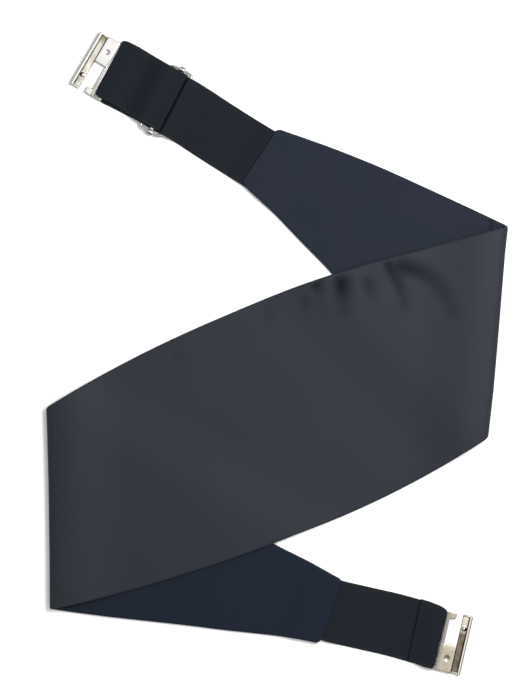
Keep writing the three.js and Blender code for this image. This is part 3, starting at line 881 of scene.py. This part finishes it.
def strapMesh(name, course, place, kind, shiftAt):
    own, points, half = strap[kind], course.points, strap["wall"] / 2
    front, end = points[course.loop[1]][0], points[-1][0]
    top, bottom, spots = [], [], []
    run = 0
    for i, ((x, z), (left, right, bulge)) in enumerate(zip(points, strapSides(course, own, shiftAt))):
        before, after = points[max(i - 1, 0)], points[min(i + 1, len(points) - 1)]
        along = Vector((after[0] - before[0], after[1] - before[1])).normalized()
        run += math.dist(points[i - 1], points[i]) if i else 0
        width = left + right
        rowTop, rowBottom, rowSpots = [], [], []
        for off in crossRows(width, strap["edgeRows"], strap["ribs"] * 3):
            edge = min(off, width - off)
            thick = half * (rounded(min(edge / strap["edgeRound"], 1)) * 0.92 + 0.08)
            beside = off - width / 2
            reach = thick + ribbed(beside, width, run)
            wobble = strap["wobble"] * noise.noise(Vector((beside / 7, run / 9, 0)))
            if i > course.loop[1]:
                wobble -= own["cut"] * (beside / width + 0.5) * (front - x) / (front - end)
            for way, out in ((1, rowTop), (-1, rowBottom)):
                push = bulge * min(edge / 0.9, 1) if way < 0 else 0
                ahead = x - way * reach * along.y + push + wobble
                spotX, spotY, _ = place(ahead, off - right + ramp(own["drift"], x))
                out.append(toTable @ Vector((spotX, spotY, z + way * reach * along.x)))
            rowSpots.append((run, beside))
        top.append(rowTop)
        bottom.append(rowBottom)
        spots.append(rowSpots)
    return sheetMesh(name, top, bottom, spots)


def claspLimits(length, turn):
    # Where a strap's loop turns, and where it has passed the inner bar, for a clasp that sits askew
    askew = slotLength / 2 * abs(math.sin(math.radians(turn)))
    return length - loopBack - askew, length - claspBack - askew - gap


# The stitches that hold the short strap's folded end
sewing = {
    "thread": 0.22,  # radius
    "length": 1.9,
    "pitch": 2.7,
    "fromCut": 4.0,
    "sides": 6,
    "margin": 3.0,
}


def topAt(course, x):
    # The height of the upper layer's outer face
    tail = course.points[course.loop[1]:]
    for (ax, az), (bx, bz) in zip(tail, tail[1:]):
        if bx <= x <= ax:
            return mix(bz, az, (x - bx) / (ax - bx)) + strap["wall"] / 2
    return tail[-1][1] + strap["wall"] / 2


def stitchRow(course, place, cut):
    # Threads that taper to their ends, each made of rings of corners and the faces between them. The
    # sines make them a little uneven.
    points, faces = [], []
    radius, sides = sewing["thread"], sewing["sides"]
    skew = 0.7 * strap["short"]["cut"]  # the seam follows most of the cut's slant
    angles = [2 * math.pi * n / sides for n in range(sides)]
    reach = strap["width"] / 2 - sewing["margin"]
    for n in range(int(2 * reach / sewing["pitch"])):
        beside = -reach + (n + 0.5) * sewing["pitch"] + 0.25 * math.sin(n * 2.3)
        x = cut + sewing["fromCut"] + 0.18 * math.sin(n * 1.7) - skew * (beside / strap["width"] + 0.5)
        length = sewing["length"] * (1 + 0.12 * math.sin(n * 3.1))
        path = []
        for share in (-0.5, -0.38, -0.15, 0.15, 0.38, 0.5):
            spotX, spotY, _ = place(x + 0.2 * share, beside + share * length)
            z = topAt(course, x) + radius * (0.55 - 6 * max(abs(share) - 0.35, 0))
            path.append(toTable @ Vector((spotX, spotY, z)))
        start = len(points)
        for i, p in enumerate(path):
            along = (path[min(i + 1, len(path) - 1)] - path[max(i - 1, 0)]).normalized()
            across = along.cross(Vector((0, 0, 1))).normalized()
            up = across.cross(along)
            size = radius * (0.35 if p in (path[0], path[-1]) else 1)
            points += [p + (across * math.cos(a) + up * math.sin(a)) * size for a in angles]
            if i:
                low = start + (i - 1) * sides
                rounds = [(low + k, low + (k + 1) % sides) for k in range(sides)]
                faces += [(a, b, b + sides, a + sides) for a, b in rounds]
        faces += [range(start, start + sides), range(len(points) - sides, len(points))]
    return meshPiece("strap_stitches", points, faces)


# Making the pieces
layers = sashLayers()
satinShell = sheetMesh("satin_cloth", layers["satinOut"], layers["satinIn"], layers["flat"])
liningCloth = sheetMesh("lining_cloth", layers["liningOut"], layers["liningIn"], layers["flat"])
# The puckers' painted shade, kept on the satin as its hollow attribute
puckerShade = satinShell.data.attributes.new("hollow", "FLOAT", "POINT")
for n, hollow in enumerate(value for row in layers["hollow"] for value in row):
    puckerShade.data[n].value = hollow
cutArea = flatArea()
print("sash made, flat area", round(cutArea, 4))

longLength = strap["slideAt"] + strap["claspAt"]
longPlace = strapCourse(1, "long", longLength)
longLoopAt, longPastBar = claspLimits(longLength, clasp["longTurn"])
between = longPastBar - strap["slideAt"] - barReach


def longShift(x):
    return mix(*strap["long"]["shift"], fade((x - strap["slideAt"] - barReach) / between))


longWay = longCourse(longLoopAt, longPastBar, between)
elasticLong = strapMesh("elastic_strap_long", longWay, longPlace, "long", longShift)
shortPlace = strapCourse(-1, "short", strap["shortLength"])
shortLoopAt, shortPastBar = claspLimits(strap["shortLength"], clasp["shortTurn"])
cutAt = shortLoopAt - strap["foldBack"]
shortWay = shortCourse(shortLoopAt, shortPastBar, cutAt)
shortShift = strap["short"]["shift"]
elasticShort = strapMesh("elastic_strap_short", shortWay, shortPlace, "short", lambda x: shortShift)
print("straps made")

stitches = stitchRow(shortWay, shortPlace, cutAt)
print("stitches made")

claspLong = claspSheet()
shadeRims(claspLong)
claspLong.name = "clasp_stamping_long"
claspShort = claspLong.copy()
claspShort.data = claspLong.data.copy()
claspShort.name = "clasp_stamping_short"
bpy.context.collection.objects.link(claspShort)
setDown(claspLong, longPlace(longLength), clasp["longTurn"])
setDown(claspShort, shortPlace(strap["shortLength"], clasp["shortAside"]), clasp["shortTurn"])
print("clasps made")

slideWire = slideFrame()
slideBar = slideCrossBar()
for piece in (slideWire, slideBar):
    shadeRims(piece)
    setDown(piece, longPlace(strap["slideAt"]), 0)
print("slide made")


# Materials
def linear(hexColour):
    # sRGB hex to the linear values that shaders use
    values = [int(hexColour[i : i + 2], 16) / 255 for i in (1, 3, 5)]
    return (*[v / 12.92 if v <= 0.04045 else ((v + 0.055) / 1.055) ** 2.4 for v in values], 1)


def feed(tree, node, sockets):
    # Gives sockets their values: another node's output, a colour in hex, or a plain value
    for name, value in sockets.items():
        if isinstance(value, bpy.types.NodeSocket):
            tree.links.new(value, node.inputs[name])
        else:
            node.inputs[name].default_value = linear(value) if isinstance(value, str) else value


def addNode(tree, kind, sockets=None, **fields):
    # Adds a shader node with its fields and its sockets' values, and gives its outputs
    node = tree.nodes.new("ShaderNode" + kind)
    for name, value in fields.items():
        setattr(node, name, value)
    feed(tree, node, sockets or {})
    return node.outputs


def newMaterial(name):
    material = bpy.data.materials.new(name)
    material.use_nodes = True
    return material, material.node_tree, material.node_tree.nodes["Principled BSDF"]


blend = {"data_type": "RGBA"}
twill = {"wave_type": "BANDS", "bands_direction": "DIAGONAL"}
cordBands = {"wave_type": "BANDS", "bands_direction": "Y"}


def twillScale(period):
    # The wave texture's diagonal bands repeat every 2 pi / 10 of its scaled space
    return 2 * math.pi / 10 / (period * mm)


def clothMaterial(name, look):
    # Woven cloth, laid out on its flat cut: two colours in patches, and a twill that shows as texture
    material, tree, shader = newMaterial(name)
    place = addNode(tree, "UVMap", uv_map="flatCloth")[0]
    cloud = addNode(tree, "TexNoise", {
        "Vector": place, "Scale": 1 / (look["patch"] * mm), "Detail": 2, "Roughness": look["patchEdge"]})
    even = addNode(tree, "Mix", {"Factor": cloud[0], 6: look["deep"], 7: look["lit"]}, **blend)[2]
    weave = addNode(tree, "TexWave", {
        "Vector": place, "Scale": twillScale(look["thread"]), "Distortion": 1.2, "Detail": 1}, **twill)
    strength, depth = look["bump"]
    bump = addNode(tree, "Bump", {"Height": weave[1], "Strength": strength, "Distance": depth * mm})
    feed(tree, shader, {"Normal": bump[0], "Roughness": look["rough"]})
    return material, tree, shader, place, even


def satinMaterial():
    # Polyester satin: its long floats show no weave at arm's length, only a soft broad sheen. Down in
    # the puckers, painted shade turns it blue-black and lowers its gloss
    look = {"deep": "#1d2228", "lit": "#20232a", "patch": 45, "patchEdge": 0.4, "thread": 0.6,
            "bump": (0.15, 0.04), "rough": 0.6, "hollow": "#000511"}
    material, tree, shader, place, even = clothMaterial("polyester satin", look)
    # painted shade: the hollow attribute mixes the blue-black hollow colour into the satin's own and lowers
    # its gloss
    hollow = addNode(tree, "Attribute", attribute_name="hollow")["Fac"]
    shaded = addNode(tree, "Mix", {"Factor": hollow, 6: even, 7: look["hollow"]}, **blend)
    gloss = addNode(tree, "MapRange", {"Value": hollow, "To Min": 0.2, "To Max": 0.05})
    feed(tree, shader, {
        "Base Color": shaded[2], "Specular IOR Level": gloss[0], "Specular Tint": "#f5f9ff",
        "Sheen Weight": 0.02})
    return material


def liningMaterial():
    # Plain woven lining: matte and blue-black, with a purple cast in patches, and painted shade that
    # darkens the tail at its left end
    look = {"deep": "#16212b", "lit": "#20202c", "patch": 24, "patchEdge": 0.5, "thread": 0.7,
            "bump": (0.2, 0.05), "rough": 0.7, "tail": "#141b27", "tailShadeFrom": 0, "tailShadeFull": -230}
    material, tree, shader, place, even = clothMaterial("woven lining", look)
    along = addNode(tree, "SeparateXYZ", {"Vector": place})[0]
    # painted shade: the colour darkens towards the left end of the cloth
    tail = addNode(tree, "MapRange", {
        "Value": along, "From Min": look["tailShadeFrom"] * mm, "From Max": look["tailShadeFull"] * mm})
    tailShaded = addNode(tree, "Mix", {"Factor": tail[0], 6: even, 7: look["tail"]}, **blend)
    feed(tree, shader, {"Base Color": tailShaded[2], "Specular IOR Level": 0.1})
    return material


def elasticMaterial():
    # Woven elastic: covered rubber cords in ribs, crossed by yarn that shows as staggered dashes, with
    # plain selvages a little paler and greener
    look = {"deep": "#0c1016", "dash": "#232a34", "selvage": "#181c1e", "dashEvery": 1.5}
    material, tree, shader = newMaterial("woven elastic")
    place = addNode(tree, "UVMap", uv_map="flatCloth")[0]
    pitch = (strap["width"] - 2 * strap["selvage"]) / strap["ribs"]
    # the wave texture repeats every 2 pi / 20 of its scaled space along one axis
    ribs = addNode(tree, "TexWave", {
        "Vector": place, "Scale": 2 * math.pi / 20 / (pitch * mm), "Distortion": 0.3}, **cordBands)
    yarn = addNode(tree, "TexWave", {
        "Vector": place, "Scale": twillScale(look["dashEvery"]), "Distortion": 0.25, "Detail": 1}, **twill)
    dashes = addNode(tree, "Math", {0: ribs[1], 1: yarn[1]}, operation="MULTIPLY")
    woven = addNode(tree, "Mix", {"Factor": dashes[0], 6: look["deep"], 7: look["dash"]}, **blend)
    beside = addNode(tree, "SeparateXYZ", {"Vector": place})[1]
    away = addNode(tree, "Math", {0: beside}, operation="ABSOLUTE")[0]
    edge = strap["width"] / 2 - strap["selvage"]
    plain = addNode(tree, "MapRange", {
        "Value": away, "From Min": (edge - 0.3) * mm, "From Max": (edge + 0.3) * mm})
    edged = addNode(tree, "Mix", {
        "Factor": plain[0], 6: woven[2], 7: look["selvage"]}, **blend)
    bump = addNode(tree, "Bump", {
        "Height": dashes[0], "Strength": 0.4, "Distance": 0.15 * mm})
    feed(tree, shader, {
        "Base Color": edged[2], "Normal": bump[0], "Roughness": 0.8,
        "Specular IOR Level": 0.12})
    return material


def nickelMaterial(name, look):
    # Nickel plating on stamped steel: bright, with a warm film in patches, a fine drawn grain, painted
    # shade along the rims, and slanting scratches over the bar
    material, tree, shader = newMaterial(name)
    place = addNode(tree, "TexCoord")["Object"]
    film = addNode(tree, "TexNoise", {
        "Vector": place, "Scale": 1 / (look["patch"] * mm), "Detail": 4, "Roughness": 0.6})[0]
    filmFrom, filmTo = look["film"]
    share = addNode(tree, "MapRange", {
        "Value": film, "From Min": filmFrom, "From Max": filmTo})[0]
    part = addNode(tree, "Attribute", attribute_name="partPlace")["Vector"]
    partSpot = addNode(tree, "SeparateXYZ", {"Vector": part})
    tone = addNode(tree, "Mix", {"Factor": share, 6: look["plate"], 7: look["tarnish"]}, **blend)
    if "trough" in look:
        # the trough's colours are the plating's tone with painted shade down in the trough
        trough, troughDark = look["trough"]
        low = addNode(tree, "Mix", {"Factor": share, 6: trough, 7: troughDark}, **blend)
        endColour, endFrom, endTo = look["end"]
        # Bands of colour in the trough and on the rail: what each is laid over, its colour, the axis
        # that it is placed by, where it starts and is full, and its strength
        bands = [
            # the end band is painted shade on the long clasp and a painted highlight on the short one
            ("trough", endColour, 1, endFrom, endTo, 1.0),
            # painted shadow under the lip's overhang, in the rim colour
            ("trough", look["rim"], 0, lipIn - 0.9, lipIn - 0.1, 0.8),
            # the lip band is a painted highlight along the short clasp's lip
            ("rail", look["lip"], 0, lipIn - 0.5, lipIn - 0.2, 1.0),
            ("rail", look["wall"], 0, lipIn + 0.7, lipIn + 1.2, 1.0),
        ]
        tones = {"trough": low, "rail": tone}
        for level, colour, axis, start, full, most in bands:
            reach = addNode(tree, "MapRange", {
                "Value": partSpot[axis], "From Min": start * mm, "From Max": full * mm, "To Max": most})
            tones[level] = addNode(tree, "Mix", {
                "Factor": reach[0], 6: tones[level][2], 7: colour}, **blend)
        height = addNode(tree, "SeparateXYZ", {"Vector": place})[2]
        raised = addNode(tree, "MapRange", {
            "Value": height, "From Min": 1.5 * mm, "From Max": 1.8 * mm})
        tone = addNode(tree, "Mix", {
            "Factor": raised[0], 6: tones["trough"][2], 7: tones["rail"][2]}, **blend)
    onBar = addNode(tree, "MapRange", {
        "Value": partSpot[0], "From Min": -0.5 * mm, "From Max": -0.1 * mm, "To Min": 1.0, "To Max": 0.0})
    hatch = addNode(tree, "TexWave", {
        "Vector": part, "Scale": twillScale(look["hatch"]), "Distortion": 1.2, "Detail": 1}, **twill)
    rubbed = addNode(tree, "Math", {0: onBar[0], 1: hatch[1]}, operation="MULTIPLY")
    tone = addNode(tree, "Mix", {
        "Factor": rubbed[0], 6: tone[2], 7: look["bar"]}, **blend)
    # painted shade: steep faces and bevels take the dark rim colour
    rim = addNode(tree, "Attribute", attribute_name="rim")["Fac"]
    tone = addNode(tree, "Mix", {"Factor": rim, 6: tone[2], 7: look["rim"]}, **blend)
    rough = addNode(tree, "MapRange", {"Value": film, "To Min": 0.14, "To Max": 0.34})
    grain = addNode(tree, "TexNoise", {"Vector": place, "Scale": 1 / (0.5 * mm), "Detail": 2})
    bump = addNode(tree, "Bump", {
        "Height": grain[0], "Strength": 0.25, "Distance": 0.04 * mm})
    feed(tree, shader, {
        "Base Color": tone[2], "Normal": bump[0], "Roughness": rough[0],
        "Metallic": 1})
    return material


def threadMaterial():
    # Black polyester sewing thread: a twisted strand that catches a little light
    material, tree, shader = newMaterial("sewing thread")
    place = addNode(tree, "TexCoord")["Object"]
    twist = addNode(tree, "TexWave", {
        "Vector": place, "Scale": twillScale(0.3), "Distortion": 1.2, "Detail": 1}, **twill)
    strand = addNode(tree, "Mix", {"Factor": twist[1], 6: "#0b0d12", 7: "#171a20"}, **blend)
    feed(tree, shader, {"Base Color": strand[2], "Roughness": 0.7, "Specular IOR Level": 0.15})
    return material


# Colours of each plated piece, with sizes in millimetres: the tarnish's patches and the share of them
# that it fills, the spacing of the scratches, and where the trough's odd end starts and is full. The
# rim colour is painted shade; the trough's colours are the plating's tone with painted shade down in
# the trough; its odd end is painted shade on the long clasp and a painted highlight on the short one;
# the short clasp's lip colour is a painted highlight. The two clasps are one stamping in two sets of
# colours, paler on the long one and warmer and darker on the short one.
nickelLooks = {
    "bright nickel plate": {
        "plate": "#f4f3ef", "tarnish": "#dddbd0", "rim": "#3f3d39", "bar": "#5f5e5d", "hatch": 1.2,
        "patch": 7.0, "film": (0.48, 0.75), "trough": ("#ece7da", "#b5b095"),
        "end": ("#9a9670", -11.5, -16.0), "lip": "#f4f3ef", "wall": "#c9c7c1",
    },
    "warm nickel plate": {
        "plate": "#c8c0ae", "tarnish": "#aca28d", "rim": "#3d3629", "bar": "#857f8b", "hatch": 1.7,
        "patch": 4.0, "film": (0.42, 0.72), "trough": ("#82786a", "#4c453b"),
        "end": ("#ded5c8", 6.0, 9.0), "lip": "#f3efe6", "wall": "#8d8880",
    },
    "plated steel wire": {
        "plate": "#dcdbd8", "tarnish": "#b1b0ab", "rim": "#55544f", "bar": "#dcdbd8", "hatch": 1.0,
        "patch": 3.0, "film": (0.5, 0.8),
    },
}

satin = satinMaterial()
lining = liningMaterial()
elastic = elasticMaterial()
thread = threadMaterial()
brightNickel, warmNickel, steelWire = (nickelMaterial(name, look) for name, look in nickelLooks.items())
finishes = [
    (satinShell, satin, "satin", "satin_shell"),
    (liningCloth, lining, "lining", "lining"),
    (elasticLong, elastic, "elastic", "elastic_long"),
    (elasticShort, elastic, "elastic", "elastic_short"),
    (claspLong, brightNickel, "nickel", "clasp_long"),
    (claspShort, warmNickel, "nickel", "clasp_short"),
    (slideWire, steelWire, "steel", "slide_frame"),
    (slideBar, steelWire, "steel", "slide_bar"),
    (stitches, thread, "elastic", None),
]
for piece, material, slot, node in finishes:
    piece.data.materials.clear()
    piece.data.materials.append(material)
    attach(piece, "root")
    if node:
        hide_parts(node)
print("finishes set")

# The stage: a pale floor, a soft key from the upper right and an even bright surround, in metres
stage = {
    "floor": 12.0,
    "cameraHeight": 1.5,
    "middle": (-8.9 * mm, 1.3 * mm),  # of the picture
    "view": 429.0 * mm,  # seen along the picture's long side
    "sensor": 36.0,  # millimetres
    "key": {"at": (0.36, 0.23, 0.76), "size": 0.3, "power": 6.6},
    # The surround's strengths away from the bright way and towards it
    "surround": {"brightWay": (0.3, 0.18, 0.93), "away": 0.45, "towards": 1.0},
}


def makeFloor():
    deselectAll()
    bpy.ops.mesh.primitive_plane_add(size=stage["floor"])
    floor = bpy.context.object
    floor.name = "pale_floor"
    material, tree, shader = newMaterial("white card")
    feed(tree, shader, {"Base Color": "#f6f6f6", "Roughness": 0.9, "Specular IOR Level": 0.1})
    floor.data.materials.append(material)


def makeLights():
    bpy.ops.object.light_add(type="AREA", location=stage["key"]["at"])
    key = bpy.context.object
    key.name = "key_softbox"
    key.data.size = stage["key"]["size"]
    key.data.energy = stage["key"]["power"]
    key.rotation_euler = Vector(stage["key"]["at"]).to_track_quat("Z", "Y").to_euler()
    world = bpy.data.worlds.new("studio surround")
    bpy.context.scene.world = world
    world.use_nodes = True
    tree = world.node_tree
    surround = stage["surround"]
    way = addNode(tree, "TexCoord")["Generated"]
    facing = addNode(tree, "VectorMath", {
        0: way, 1: surround["brightWay"]}, operation="DOT_PRODUCT")
    strength = addNode(tree, "MapRange", {
        "Value": facing["Value"], "From Min": 0.2, "From Max": 0.9,
        "To Min": surround["away"], "To Max": surround["towards"]})
    feed(tree, tree.nodes["Background"], {"Color": (1, 1, 1, 1), "Strength": strength[0]})


def makeCamera():
    x, y = stage["middle"]
    bpy.ops.object.camera_add(location=(x, y, stage["cameraHeight"]), rotation=(0, 0, 0))
    camera = bpy.context.object
    camera.data.sensor_width = stage["sensor"]
    camera.data.lens = stage["sensor"] * stage["cameraHeight"] / stage["view"]
    bpy.context.scene.camera = camera
    bpy.context.scene.view_settings.view_transform = "Standard"


makeFloor()
makeLights()
makeCamera()
print("stage set")
